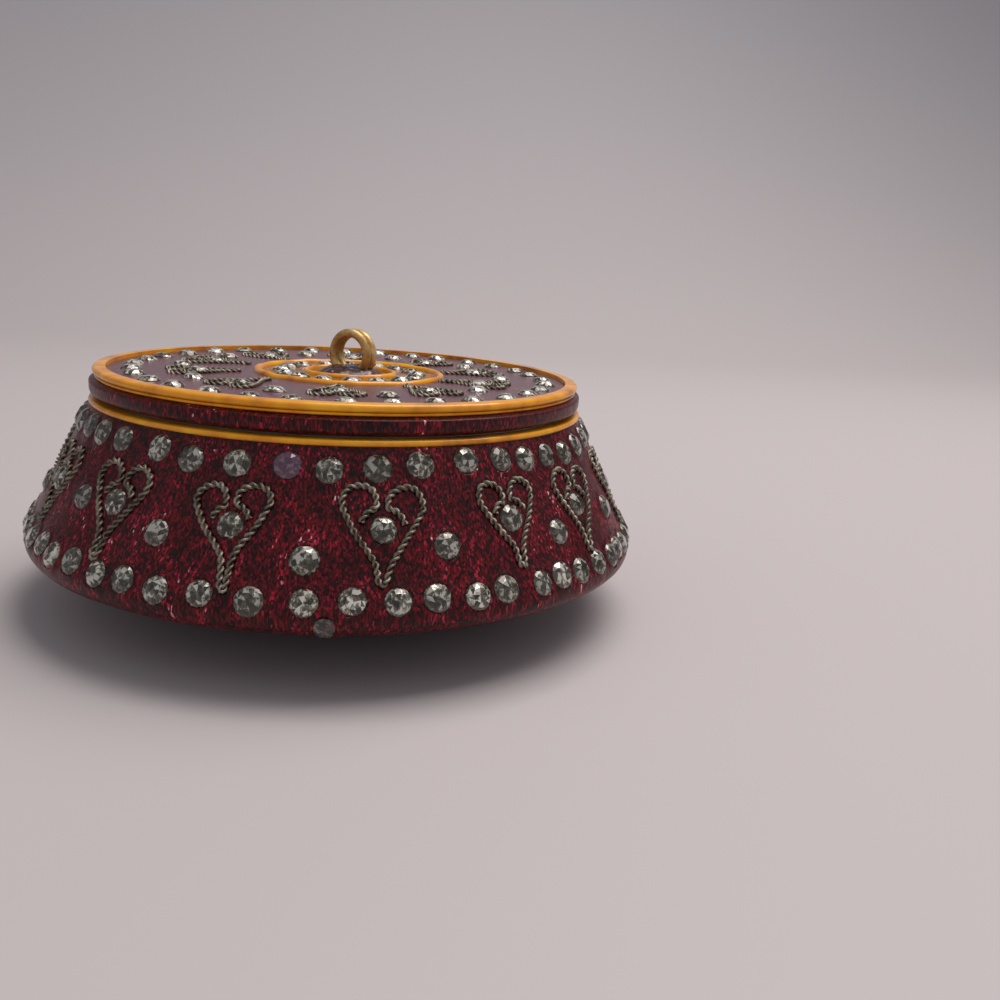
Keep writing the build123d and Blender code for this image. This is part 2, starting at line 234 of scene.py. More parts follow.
def makeFoiledGlass():
    look = {"Coat Weight": 0.7, "Coat Roughness": 0.03, "IOR": 1.52, "Roughness": 0.16, "Metallic": 0.3}
    material, tree, shader, place = startMaterial("foiledGlass", look)
    facet, girdle, tint, dim = [addNode(tree, "ShaderNodeAttribute", attribute_name=layer)
                                 for layer in ("facet", "girdle", "tint", "dim")]
    drawn = addNode(tree, "ShaderNodeMapping", {"Vector": (place, "Object"),
                                                "Scale": (1, 1, glass["drawnOut"])})
    crease = addNode(tree, "ShaderNodeTexNoise", {"Vector": drawn, "Scale": perMm(glass["crease"]),
                                                  "Detail": 2.0, "Roughness": 0.6, "Distortion": 0.6})
    share = addNode(tree, "ShaderNodeMath", {0: (facet, "Fac"), 1: glass["facetShare"]}, operation="MULTIPLY")
    level = addNode(tree, "ShaderNodeMath", {0: crease, 1: glass["creaseShare"], 2: share},
                    operation="MULTIPLY_ADD")
    # White and near-black facets are painted reflections and glints; the crease mottle stands for creased
    # foil
    mottle = addNode(tree, "ShaderNodeValToRGB", {"Fac": level}, ramp=glass)
    edge = addNode(tree, "ShaderNodeMapRange", {"Value": (girdle, "Fac"), "From Min": glass["ringFrom"],
                                                "From Max": 1.0, "To Min": 0.0, "To Max": glass["ringShare"]})
    # A painted reflection of the glass edge: a greyer ring at the girdle
    ringed = addNode(tree, "ShaderNodeMix", {"Factor": edge, "A": (mottle, "Color"), "B": glass["ring"]},
                     data_type="RGBA")
    # Painted shade: darkens each whole stone, most on the wall's stones, which face the lamp less than the
    # lid's, with some random spread
    dimmed = addNode(tree, "ShaderNodeMix", {"Factor": (dim, "Fac"), "A": ringed, "B": glass["dim"]},
                     data_type="RGBA")
    tinted = addNode(tree, "ShaderNodeMix", {"Factor": (tint, "Fac"), "A": dimmed, "B": glass["plum"]},
                     data_type="RGBA")
    feed(tree, shader, {"Base Color": tinted})
    return material


foiledGlass = makeFoiledGlass()


# Tarnished tinned wire, two strands twisted: mottled in patches from dark brown to pale grey
wireLook = {"patch": 1.4, "rough": (0.3, 0.6), "places": (0.32, 0.5, 0.7),
            "colours": ("#4A4137", "#837A6C", "#B6AE9F")}


def makeTwistedWire():
    material, tree, shader, place = startMaterial("tinnedTwistedWire", {"Metallic": 0.7, "Roughness": 0.42})
    patches = addNode(tree, "ShaderNodeTexNoise", {"Vector": (place, "Object"),
                                                   "Scale": perMm(wireLook["patch"]), "Detail": 4.0,
                                                   "Roughness": 0.7})
    colour = addNode(tree, "ShaderNodeValToRGB", {"Fac": patches}, ramp=wireLook)
    smooth, dim = wireLook["rough"]
    rough = addNode(tree, "ShaderNodeMapRange", {"Value": patches, "To Min": smooth, "To Max": dim})
    feed(tree, shader, {"Base Color": colour, "Roughness": rough})
    return material


twistedWire = makeTwistedWire()


# Worn brass: warm yellow brown, duller in blotches, with fine handling scratches
brass = {"blotch": 1.8, "scratch": 0.12, "scratchDepth": 0.03, "drawnOut": 0.2, "rough": (0.6, 0.4),
         "places": (0.34, 0.5, 0.68), "colours": ("#94703C", "#C8A468", "#E8CC96")}


def makeWornBrass():
    material, tree, shader, place = startMaterial("wornBrass", {"Metallic": 0.7})
    blotch = addNode(tree, "ShaderNodeTexNoise", {"Vector": (place, "Object"),
                                                  "Scale": perMm(brass["blotch"]), "Detail": 5.0,
                                                  "Roughness": 0.65})
    colour = addNode(tree, "ShaderNodeValToRGB", {"Fac": blotch}, ramp=brass)
    dim, wornSheen = brass["rough"]
    rough = addNode(tree, "ShaderNodeMapRange", {"Value": blotch, "To Min": dim, "To Max": wornSheen})
    drawn = addNode(tree, "ShaderNodeMapping", {"Vector": (place, "Object"),
                                                "Scale": (1, 1, brass["drawnOut"])})
    scratch = addNode(tree, "ShaderNodeTexNoise", {"Vector": drawn, "Scale": perMm(brass["scratch"])})
    bump = addNode(tree, "ShaderNodeBump", {"Height": scratch, "Strength": 0.12,
                                            "Distance": brass["scratchDepth"] * mm})
    feed(tree, shader, {"Base Color": colour, "Roughness": rough, "Normal": bump})
    return material


wornBrass = makeWornBrass()


# Spun sheet metal: dull grey with fine rings left by the spinning tool, drawn 0.5 mm apart so that they show
liner = {"ring": 0.5, "ringDepth": 0.03, "places": (0.35, 0.65), "colours": ("#A6A39D", "#BDBAB4")}


def makeSpunLiner():
    material, tree, shader, place = startMaterial("spunAluminium", {"Metallic": 0.9, "Roughness": 0.45})
    parts = addNode(tree, "ShaderNodeSeparateXYZ", {"Vector": (place, "Object")})
    flat = addNode(tree, "ShaderNodeCombineXYZ", {"X": (parts, "X"), "Y": (parts, "Y")})
    radius = addNode(tree, "ShaderNodeVectorMath", {0: flat}, operation="LENGTH")
    turnedOut = addNode(tree, "ShaderNodeCombineXYZ", {"X": (radius, "Value"), "Y": (parts, "Z")})
    rings = addNode(tree, "ShaderNodeTexNoise", {"Vector": turnedOut, "Scale": perMm(liner["ring"]),
                                                 "Detail": 3.0})
    colour = addNode(tree, "ShaderNodeValToRGB", {"Fac": rings}, ramp=liner)
    bump = addNode(tree, "ShaderNodeBump", {"Height": rings, "Strength": 0.08,
                                            "Distance": liner["ringDepth"] * mm})
    feed(tree, shader, {"Base Color": colour, "Normal": bump})
    return material


spunLiner = makeSpunLiner()
print("materials made")


# Shape of the lac body, the same lines as the CAD solid's
body = {"foot": 19.5, "edge": (38.3, 9.3), "edgeRound": 2.0, "rim": 32.1, "top": 26.1, "neck": 30.45,
        "cup": [(30.45, 24.2), (37.25, 9.9), (18.55, 1.6)], "footRound": 0.6, "steps": 900, "underRun": 2.0,
        "edgeSteps": 9, "wallRun": 0.2554, "wobble": 0.07, "swell": 9.0, "ripple": 2.2, "rippleShare": 0.25,
        "skin": 0.9}


def tangentAngle(point, side):
    dx, dz = point[0] - body["edge"][0], point[1] - body["edge"][1]
    return atan2(dz, dx) + side * acos(body["edgeRound"] / hypot(dx, dz))


wallTilt = tangentAngle((body["rim"], body["top"]), -1)
underTilt = tangentAngle((body["foot"], 0), 1)


def edgePoint(angle):
    radius, height = body["edge"]
    return (radius + body["edgeRound"] * cos(angle), height + body["edgeRound"] * sin(angle))


wallFoot = edgePoint(wallTilt)


def wallRadius(height):
    share = (height - wallFoot[1]) / (body["top"] - wallFoot[1])
    return wallFoot[0] + share * (body["rim"] - wallFoot[0])


# A place on the wall by its turn from the front and its height; lift is out of the wall
def onWall(turn, height, lift=0.0):
    radius = wallRadius(height) + lift * cos(wallTilt)
    return Vector((radius * sin(turn), -radius * cos(turn), height + lift * sin(wallTilt)))


def wallAxes(turn, tilt):
    out = Vector((sin(turn) * cos(tilt), -cos(turn) * cos(tilt), sin(tilt)))
    along = Vector((cos(turn), sin(turn), 0))
    return Matrix((along, out.cross(along), out)).transposed()


lidTop = 30.1


medallion = (0.9, 0.3)     # the medallion and its ring were set a little off the lid's middle by hand


def onLid(turn, radius, lift=0.0):
    return Vector((radius * sin(turn), -radius * cos(turn), lidTop + lift))


def lidAxes(turn):
    out = Vector((sin(turn), -cos(turn), 0))
    return Matrix((Vector((0, 0, 1)).cross(out) * -1, out, Vector((0, 0, 1)))).transposed()


# Turns all the way round: those measured where the photograph shows them, then evenly spaced behind
def fillRound(measured, count, draw, jitter):
    hidden = count - len(measured)
    start, end = measured[-1], measured[0] + 360
    step = (end - start) / (hidden + 1)
    return measured + [start + step * (k + 1) + draw.uniform(-jitter, jitter) for k in range(hidden)]


# Where the stones sit on the wall: turn, height
rows = {
    "upper": [(-62.6, 24.5), (-55.2, 24.4), (-47.1, 24.3), (-36.4, 24.3), (-28.6, 23.7), (-19.1, 23.8),
              (-9.8, 24.0), (-2.2, 23.8), (6.6, 24.0), (14.7, 24.3), (24.4, 24.5), (32.8, 24.4), (39.4, 24.1),
              (46.5, 24.0), (53.7, 23.8), (61.5, 24.1)],
    "lower": [(-65.1, 11.2), (-59.2, 11.4), (-53.9, 11.0), (-47.4, 11.3), (-40.7, 11.0), (-34.9, 11.2),
              (-28.3, 10.9), (-21.0, 11.3), (-13.3, 11.0), (-5.1, 11.1), (2.1, 11.3), (9.0, 11.2),
              (15.2, 11.4), (22.0, 11.1), (27.4, 11.4), (35.1, 11.2), (40.0, 11.5), (45.6, 11.2),
              (51.9, 11.3), (58.3, 11.1), (62.3, 11.4), (67.3, 11.2)],
    "loose": [(-52.0, 17.6), (-31.2, 16.2), (-5.4, 15.1), (17.9, 16.2), (42.6, 15.9), (64.8, 16.05)],
}
# Stones all the way round, height where it isn't given, how uneven the spacing is behind, range of darkening,
# which is painted shade with some random spread
counts = {"upper": (44, 24.2, 0.7, (0.45, 0.75)), "lower": (57, 11.2, 0.5, (0.1, 0.6)),
          "loose": (15, 16.2, 1.5, (0.45, 0.75))}
plum = {"turn": -9.8, "tint": 0.75}     # one stone of the upper row is tinted
stray = {"turn": -2.0, "height": 8.6, "sunk": 0.35, "size": 0.8, "tint": 0.1, "dim": 0.8}

# Hearts on the wall: turn, height of the middle stone, scale, lean, length from the stone to the foot
hearts = [(-65.5, 18.0, 0.95, 0, 5.9), (-42.3, 18.2, 0.97, 0, 6.7), (-18.2, 17.9, 0.96, 5, 7.2),
          (7.1, 18.0, 1.06, -3, 5.5), (31.7, 18.3, 0.92, 1, 6.2), (51.6, 18.0, 0.98, -6, 5.9)]
heartCount, heartHeight, heartReach = 15, 18.1, 5.9


# How a stone pressed in by hand tips and how its facets are turned
def handTurns(draw, most):
    tip = (Matrix.Rotation(radians(draw.uniform(-most, most)), 3, "X")
           @ Matrix.Rotation(radians(draw.uniform(-most, most)), 3, "Y"))
    return tip, Matrix.Rotation(radians(draw.uniform(0, 360)), 3, "Z")


def wallSeat(turn, height, draw, dim=(0.3, 0.65), sunk=0.12):
    turn = radians(turn)
    tip, spin = handTurns(draw, 5)
    return {"place": onWall(turn, height, -sunk), "axes": wallAxes(turn, wallTilt) @ tip @ spin, "size": 1.0,
            "tint": 0.0, "dim": draw.uniform(*dim)}


def wallRow(name, draw):
    count, height, jitter, dim = counts[name]
    given = rows[name]
    seats = []
    for index, turn in enumerate(fillRound([t for t, h in given], count, draw, jitter)):
        level = given[index][1] if index < len(given) else height + draw.uniform(-0.25, 0.25)
        seat = wallSeat(turn, level, draw, dim)
        seat["tint"] = plum["tint"] if turn == plum["turn"] else 0.0
        seats.append(seat)
    return seats


# One stone has slipped down on to the rounded edge
def straySeat():
    turn = radians(stray["turn"])
    angle = (stray["height"] - body["edge"][1]) / body["edgeRound"]
    radius = edgePoint(angle)[0] - stray["sunk"]
    return {"place": Vector((radius * sin(turn), -radius * cos(turn), stray["height"])),
            "axes": wallAxes(turn, angle), **{key: stray[key] for key in ("size", "tint", "dim")}}


draw = random.Random(11)
upperSeats = wallRow("upper", draw)
lowerSeats = wallRow("lower", draw) + [straySeat()]
looseSeats = wallRow("loose", draw)
wallHearts = list(hearts)
heartTurns = fillRound([h[0] for h in hearts], heartCount, draw, 0.8)
for turn in heartTurns[len(hearts):]:
    wallHearts.append((turn, heartHeight + draw.uniform(-0.2, 0.2), draw.uniform(0.95, 1.03),
                       draw.uniform(-6, 6), heartReach))
heartSeats = [wallSeat(turn, height, draw) for turn, height, scale, lean, foot in wallHearts]

# Where the stones and hearts sit on the lid
top = {"borderCount": 32, "borderRadius": 27.2, "heartCount": 10, "heartRadius": 19.0, "heartTurn": 33.0,
       "looseRadius": 21.5, "medallionCount": 16, "medallionRadius": 9.1, "stone": 0.875, "heartScale": 0.8,
       "heartReach": 6.2}


# Stones on the lid face the lamp, so they get almost none of the painted shade that darkens the wall's stones
def lidSeat(turn, radius, draw, sunk=0.1):
    tip, spin = handTurns(draw, 6)
    return {"place": onLid(radians(turn), radius, -sunk), "axes": tip @ spin, "size": top["stone"],
            "tint": 0.0, "dim": draw.uniform(0, 0.1)}


def lidRow(count, radius, start, draw, jitter):
    return [lidSeat(start + k * 360 / count + draw.uniform(-jitter, jitter),
                    radius + draw.uniform(-0.15, 0.15), draw) for k in range(count)]


heartGap = 360 / top["heartCount"]
borderSeats = lidRow(top["borderCount"], top["borderRadius"], 0, draw, 1.0)
medallionSeats = lidRow(top["medallionCount"], top["medallionRadius"], 0, draw, 1.5)
for seat in medallionSeats:
    seat["place"] += Vector((*medallion, 0))
lidLooseSeats = lidRow(top["heartCount"], top["looseRadius"], top["heartTurn"] + heartGap / 2, draw, 1.5)
lidHearts = [(top["heartTurn"] + k * heartGap + draw.uniform(-1, 1), top["heartRadius"], top["heartScale"]
              * draw.uniform(0.96, 1.04), draw.uniform(-5, 5), top["heartReach"])
             for k in range(top["heartCount"])]
lidHeartSeats = [lidSeat(turn, radius, draw) for turn, radius, scale, lean, foot in lidHearts]
print("places worked out")


# Heart of one bent wire, drawn about its middle stone: foot, side, lobe and a curl over the stone
heart = {"legs": 0.45, "waist": [(0.5, -4.4), (0.75, -3.4), (1.5, -2.2), (2.75, -0.5)], "lobe": (2.35, 2.7),
         "lobeRadius": 1.85, "lobeStart": -32, "lobeEnd": 200, "curl": 2.35, "curlEnd": 18, "smooth": 2,
         "unevenness": 0.15}


def heartLine(scale, lean, foot, seed):
    half = [(heart["legs"], 0.6 - foot), (heart["legs"], 1.2 - foot)] + heart["waist"]
    for step in range(9):
        angle = radians(heart["lobeStart"] + step * (heart["lobeEnd"] - heart["lobeStart"]) / 8)
        half.append((heart["lobe"][0] + heart["lobeRadius"] * cos(angle),
                     heart["lobe"][1] + heart["lobeRadius"] * sin(angle)))
    for angle in np.linspace(62, heart["curlEnd"], 4):
        half.append((heart["curl"] * cos(radians(angle)), heart["curl"] * sin(radians(angle))))
    bend = [(-0.25, 0.1 - foot), (0, -foot), (0.25, 0.1 - foot)]
    line = [(-x, y) for x, y in reversed(half)] + bend + half
    uneven = []
    for x, y in line:
        shift = noise.noise_vector(Vector((x * 0.45 + seed * 7.3, y * 0.45, seed * 3.1)))
        uneven.append(Vector((x + shift.x * heart["unevenness"] * 2, y + shift.y * heart["unevenness"])))
    for _ in range(heart["smooth"]):
        cut = [uneven[0]]
        for a, b in zip(uneven, uneven[1:]):
            cut += [a.lerp(b, 0.25), a.lerp(b, 0.75)]
        uneven = cut + [uneven[-1]]
    turned = Matrix.Rotation(radians(lean), 2)
    return [turned @ (p * scale) for p in uneven]


def wallHeartPath(turn, height, scale, lean, foot, seed, lift=0.1):
    points = []
    for x, y in heartLine(scale, lean, foot, seed):
        level = height + y * cos(wallTilt)
        points.append(onWall(radians(turn) + x / wallRadius(level), level, lift))
    return points


def lidHeartPath(turn, radius, scale, lean, foot, seed, lift=0.08):
    axes = lidAxes(radians(turn))
    middle = onLid(radians(turn), radius, lift)
    return [middle + axes @ Vector((x, y, 0)) for x, y in heartLine(scale, lean, foot, seed)]


noise.seed_set(4)   # noise_vector differs from run to run until it has a seed
wallPaths = [wallHeartPath(*h, seed) for seed, h in enumerate(wallHearts)]
lidPaths = [lidHeartPath(*h, seed + 40) for seed, h in enumerate(lidHearts)]


# Soft lac gives way to what is pressed into it: it sinks under stones and wires and swells in a lip round
# them. Each lip is a bell curve about a distance from the stone's edge or the wire's middle.
press = {"stone": 1.6, "stoneLip": 0.13, "lipPlace": 0.12, "lipWidth": 0.28,
         "stoneBed": 0.25, "bedEdge": -0.22, "bedSoft": 0.06,
         "wireLip": 0.07, "wireReach": 0.62, "wireWidth": 0.22, "wireBed": 0.14, "wireBedWidth": 0.3,
         "clearFrom": 0.3, "clearSoft": 0.1}


def pressed(points, seats, paths):
    stones = kdtree.KDTree(len(seats))
    for index, seat in enumerate(seats):
        stones.insert(seat["place"], index)
    stones.balance()
    wirePoints = [p for path in paths for p in path]
    wires = kdtree.KDTree(len(wirePoints))
    for index, point in enumerate(wirePoints):
        wires.insert(point, index)
    wires.balance()
    toStone = np.array([stones.find(p)[2] for p in points]) - press["stone"]
    toWire = np.array([wires.find(p)[2] for p in points])
    lift = press["stoneLip"] * np.exp(-((toStone - press["lipPlace"]) / press["lipWidth"]) ** 2)
    lift -= press["stoneBed"] / (1 + np.exp((toStone - press["bedEdge"]) / press["bedSoft"]))
    clear = 1 / (1 + np.exp(-(toStone - press["clearFrom"]) / press["clearSoft"]))
    lift += clear * press["wireLip"] * np.exp(-((toWire - press["wireReach"]) / press["wireWidth"]) ** 2)
    lift -= clear * press["wireBed"] * np.exp(-(toWire / press["wireBedWidth"]) ** 2)
    return lift


def wobble(points, size, amount):
    return np.array([noise.noise(Vector(p) / size) for p in points]) * amount


# Rounds the corners of an outline
def rounded(points, radii, steps=4):
    out = [points[0]]
    for before, corner, after, radius in zip(points, points[1:], points[2:], radii):
        a, b, c = Vector(before), Vector(corner), Vector(after)
        if not radius:
            out.append(corner)
            continue
        start, end = b + (a - b).normalized() * radius, b + (c - b).normalized() * radius
        for k in range(steps + 1):
            t = k / steps
            out.append(tuple(start * (1 - t) ** 2 + b * 2 * t * (1 - t) + end * t ** 2))
    return out + [points[-1]]


# Cuts the runs of an outline into pieces of about one length
def cutRuns(points, length):
    out = [points[0]]
    for a, b in zip(points, points[1:]):
        pieces = max(1, round(hypot(b[0] - a[0], b[1] - a[1]) / length))
        out += [(a[0] + (b[0] - a[0]) * k / pieces, a[1] + (b[1] - a[1]) * k / pieces)
                for k in range(1, pieces + 1)]
    return out


# Turns an outline of (radius, height) about the box's axis. A closed outline makes a ring; an open one
# starts and ends on the axis. shape(places, normals) gives each point's move along its normal.
def turnedMesh(name, outline, steps, materials, closed=False, shape=None, sharp=38, middle=(0, 0)):
    line = np.array(outline, float)
    rings = line if closed else line[1:-1]
    before = np.roll(line, 1, 0) if closed else line[:-2]
    after = np.roll(line, -1, 0) if closed else line[2:]
    run = after - before
    run /= np.linalg.norm(run, axis=1)[:, None]
    turns = np.arange(steps) * tau / steps
    s, c = np.sin(turns), -np.cos(turns)
    places = np.stack([rings[:, :1] * s, rings[:, :1] * c, np.repeat(rings[:, 1:], steps, 1)], -1)
    normals = np.stack([run[:, 1:] * s, run[:, 1:] * c, np.repeat(-run[:, :1], steps, 1)], -1)
    if shape:
        moves = shape(places.reshape(-1, 3), normals.reshape(-1, 3)).reshape(len(rings), steps, 1)
        places = places + normals * moves
    vertices = places.reshape(-1, 3)
    count = len(rings)
    ringIndex = np.arange(count if closed else count - 1)[:, None] * steps
    column = np.arange(steps)[None, :]
    nextColumn = (column + 1) % steps
    nextRing = (ringIndex + steps) % (count * steps)
    quads = np.stack([ringIndex + column, ringIndex + nextColumn,
                      nextRing + nextColumn, nextRing + column], -1)
    faces = quads.reshape(-1, 4).tolist()
    if not closed:
        low, high = len(vertices), len(vertices) + 1
        vertices = np.vstack([vertices, [0, 0, line[0, 1]], [0, 0, line[-1, 1]]])
        last = (count - 1) * steps
        faces += [(low, (k + 1) % steps, k) for k in range(steps)]
        faces += [(last + k, last + (k + 1) % steps, high) for k in range(steps)]
    mesh = bpy.data.meshes.new(name)
    mesh.from_pydata(((vertices + [*middle, 0]) * mm).tolist(), [], faces)
    finishMesh(mesh, materials, sharp)
    return mesh


def finishMesh(mesh, materials, sharp):
    shape = bmesh.new()
    shape.from_mesh(mesh)
    bmesh.ops.recalc_face_normals(shape, faces=shape.faces)
    shape.to_mesh(mesh)
    shape.free()
    for material in materials:
        mesh.materials.append(material)
    mesh.shade_smooth()
    mesh.set_sharp_from_angle(angle=radians(sharp))


# Lac body, from the foot round the rounded edge and up the flared wall to the rim, then down the cup
def makeLacBody():
    under = cutRuns([(body["foot"], 0), edgePoint(underTilt)], body["underRun"])
    edge = [edgePoint(underTilt + (wallTilt - underTilt) * k / body["edgeSteps"])
            for k in range(1, body["edgeSteps"] + 1)]
    wall = cutRuns([edge[-1], (body["rim"], body["top"])], body["wallRun"])[1:]
    rim = [(body["rim"] - 0.12, body["top"] + 0.02), (body["neck"], body["top"])]
    outline = ([(0, 0), (body["foot"] - body["footRound"], 0)] + under + edge + wall + rim + body["cup"]
               + [(0, body["cup"][-1][1])])
    seats = upperSeats + lowerSeats + looseSeats + heartSeats

    # The foot, the rim and the side against the cup stay true, and only the wall is pressed
    def shape(places, normals):
        moves = wobble(places, body["swell"], body["wobble"])
        moves += wobble(places, body["ripple"], body["wobble"] * body["rippleShare"])
        radius, height = np.hypot(places[:, 0], places[:, 1]), places[:, 2]
        outside = (height > 7.0) & (radius > wallShell(height))
        moves[outside] += pressed(places[outside], seats, wallPaths)
        kept = np.clip((26.0 - height) / 0.6, 0, 1) * np.clip(height / 1.5, 0, 1)
        return np.where((radius < wallShell(height)) & (height > 1.0), 0, moves * kept)

    mesh = turnedMesh("lacBody", outline, body["steps"], [burgundyLac], shape=shape)
    newPiece("lacBody", mesh, box, "burgundy_lac", "base_lac")


# Just inside the lac's outer face at a height, to tell the outer face from the one against the cup
def wallShell(height):
    low = body["foot"] + (height / edgePoint(underTilt)[1]) * (edgePoint(underTilt)[0] - body["foot"])
    share = (height - wallFoot[1]) / (body["top"] - wallFoot[1])
    high = wallFoot[0] + share * (body["rim"] - wallFoot[0])
    return np.where(height < body["edge"][1], low, high) - body["skin"]


makeLacBody()
print("lac body made")


# Metal cup inside the lac, and the pan with its collar inside the lid
cup = {"outside": [(0, 1.6), (18.5, 1.6), (37.2, 9.9), (30.4, 24.2), (30.4, 27.0)],
       "inside": [(29.6, 27.0), (29.6, 24.2), (36.4, 9.9), (17.7, 2.4), (0, 2.4)],
       "rounds": [0.6, 2.4, 1.6, 0.3, 0.3, 1.6, 2.0, 0.6]}
pan = {"outline": [(0, 27.0), (28.5, 27.0), (28.5, 22.8), (28.9, 22.8), (29.2, 23.1), (29.2, 27.0),
                   (30.6, 27.0), (30.6, 27.7), (0, 27.7)],
       "rounds": [0.3, 0.15, 0.12, 0.12, 0.2, 0.15, 0.15]}

cupMesh = turnedMesh("linerCup", rounded(cup["outside"] + cup["inside"], cup["rounds"]), 240, [spunLiner])
newPiece("linerCup", cupMesh, box, "liner_metal", "base_cup")
panMesh = turnedMesh("lidPan", rounded(pan["outline"], pan["rounds"]), 240, [spunLiner])
newPiece("lidPan", panMesh, lid, "liner_metal", "lid_pan")

# Amber beads, rolled on by hand, so none is quite even: inner and outer radius, foot, height. Each clears
# the lac under and over it by a hair.
beadSteps, beadLift, beadThin = 360, 0.01, 0.04
beads = {
    "rimRing": (30.45, 32.3, 26.1, 0.75, box, "rim_ring"),
    "lidBeadLower": (30.15, 31.5, 29.3, 0.4, lid, "lid_bead_lower"),
    "lidBeadUpper": (30.15, 31.75, 29.7, 0.95, lid, "lid_bead_upper"),
}


def beadOutline(inner, outer, foot, height):
    half = height / 2
    arc = [(outer - half * (1 - cos(a)), foot + half + half * sin(a))
           for a in np.linspace(-pi / 2, pi / 2, 9)]
    return [(inner, foot)] + arc + [(inner, foot + height)]


for name, (inner, outer, foot, height, carrier, node) in beads.items():
    outline = beadOutline(inner, outer, foot + beadLift, height - beadThin)
    mesh = turnedMesh(name, outline, beadSteps, [amberLac], closed=True,
                      shape=lambda places, normals: wobble(places, 7.0, 0.05) * (normals[:, 2] ** 2 < 0.8))
    newPiece(name, mesh, carrier, "amber_lac", node)

# Low amber ridges round the lid's medallion: radius, width
ridgeHeight, ridgeSunk, ridgeSteps = 0.58, 0.1, 240
ridges = {"medallionOuterRing": (12.3, 1.0, "medallion_outer_ring"),
          "medallionInnerRing": (5.9, 0.8, "medallion_inner_ring")}
for name, (radius, width, node) in ridges.items():
    arc = [(radius + width / 2 * cos(a), lidTop - ridgeSunk + ridgeHeight * sin(a))
           for a in np.linspace(0, pi, 9)]
    mesh = turnedMesh(name, arc, ridgeSteps, [amberLac], closed=True, middle=medallion,
                      shape=lambda places, normals: wobble(places, 3.0, 0.12) * (normals[:, 2] > 0.2))
    newPiece(name, mesh, lid, "amber_lac", node)
print("cup, pan and beads made")


# Lid's lac: flat top that the stones and wires are sunk in, a round-shouldered side, and its lap over the pan
lidBody = {"side": [(30.1, 30.1), (30.1, 29.3), (31.4, 29.3), (32.1, 28.9), (32.1, 27.6), (31.4, 27.2),
                    (30.65, 27.2), (30.65, 27.7)],
           "rounds": [0.12, 0, 0.1, 0.45, 0.45, 0.2, 0], "steps": 720, "topFrom": 3.0, "topTo": 29.95,
           "topRun": 0.265, "wobble": 0.06, "swell": 6.0, "medallion": 12.3}


def makeLidLac():
    topRun = cutRuns([(lidBody["topFrom"], lidTop), (lidBody["topTo"], lidTop)], lidBody["topRun"])
    side = rounded([(29.0, lidTop)] + lidBody["side"] + [(20, 27.7)], [0.1] + lidBody["rounds"])[1:-1]
    outline = [(0, lidTop)] + topRun + side + [(0, 27.7)]

    # The side is a little uneven, and the top stays flat
    def shape(places, normals):
        band = (places[:, 2] < 29.2) & (np.hypot(places[:, 0], places[:, 1]) > 31.0)
        moves = np.zeros(len(places))
        moves[band] = wobble(places[band], lidBody["swell"], lidBody["wobble"]) - lidBody["wobble"]
        return moves

    mesh = turnedMesh("lidLac", outline, lidBody["steps"], [burgundyLac, goldenLac, wornPaintedSheenLac], shape=shape)
    # Top faces take the golden lac inside the medallion, and outside it the worn lac with its painted mauve
    # sheen
    for face in mesh.polygons:
        radius = hypot(face.center.x / mm - medallion[0], face.center.y / mm - medallion[1])
        if face.center.z > 29.6 * mm and hypot(face.center.x, face.center.y) < 30.2 * mm:
            face.material_index = 1 if radius < lidBody["medallion"] else 2
    newPiece("lidLac", mesh, lid, "burgundy_lac", "lid_lac")


makeLidLac()
print("lid lac made")

# Lumpy dark mound that holds the ring's foot
mound = {"outline": [(0, 29.6), (4.2, 29.6), (4.35, 30.1), (3.9, 30.45), (3.2, 30.8), (2.3, 31.05),
                     (1.2, 31.18), (0, 31.2)],
         "rounds": [0.1, 0.1, 0.3, 0.3, 0.3, 0.3], "run": 0.2, "steps": 144, "lumps": 0.22, "lump": 1.3}
moundOutline = cutRuns(rounded(mound["outline"], mound["rounds"]), mound["run"])
moundMesh = turnedMesh("pullMound", moundOutline, mound["steps"], [darkLac], sharp=60, middle=medallion,
                       shape=lambda places, normals: wobble(places, mound["lump"], mound["lumps"])
                       * (places[:, 2] > 30.15) * (normals[:, 2] > 0.1))
newPiece("pullMound", moundMesh, lid, "dark_lac", "pull_hub")

# Ring pull: two turns of brass wire side by side, both ends bedded in the mound
pull = {"place": (1.2, 0.3), "radius": 2.7, "wire": 0.585, "pitch": 1.12, "middle": 32.8, "turn": 42.0,
        "turns": 2, "steps": 56, "sides": 14}


def makePullRing():
    axis = Vector((-sin(radians(pull["turn"])), -cos(radians(pull["turn"])), 0))
    side = Vector((-axis.y, axis.x, 0))
    middle = Vector((*pull["place"], pull["middle"]))
    count = pull["turns"] * pull["steps"]
    vertices, faces = [], []
    for k in range(count + 1):
        angle = tau * k / pull["steps"] - pi / 2
        out = side * cos(angle) + Vector((0, 0, 1)) * sin(angle)
        shift = pull["pitch"] * (k / pull["steps"] - pull["turns"] / 2)
        centre = middle + out * pull["radius"] + axis * shift
        for j in range(pull["sides"]):
            a = tau * j / pull["sides"]
            vertices.append((centre + (out * cos(a) + axis * sin(a)) * pull["wire"]) * mm)
    for k in range(count):
        for j in range(pull["sides"]):
            a, b = k * pull["sides"] + j, k * pull["sides"] + (j + 1) % pull["sides"]
            faces.append((a, b, b + pull["sides"], a + pull["sides"]))
    faces.append(tuple(range(pull["sides"])))
    faces.append(tuple(range(count * pull["sides"], (count + 1) * pull["sides"])))
    mesh = bpy.data.meshes.new("pullRing")
    mesh.from_pydata(vertices, [], faces)
    finishMesh(mesh, [wornBrass], 50)
    newPiece("pullRing", mesh, lid, "ring_brass", "pull_ring")


makePullRing()
print("ring pull made")


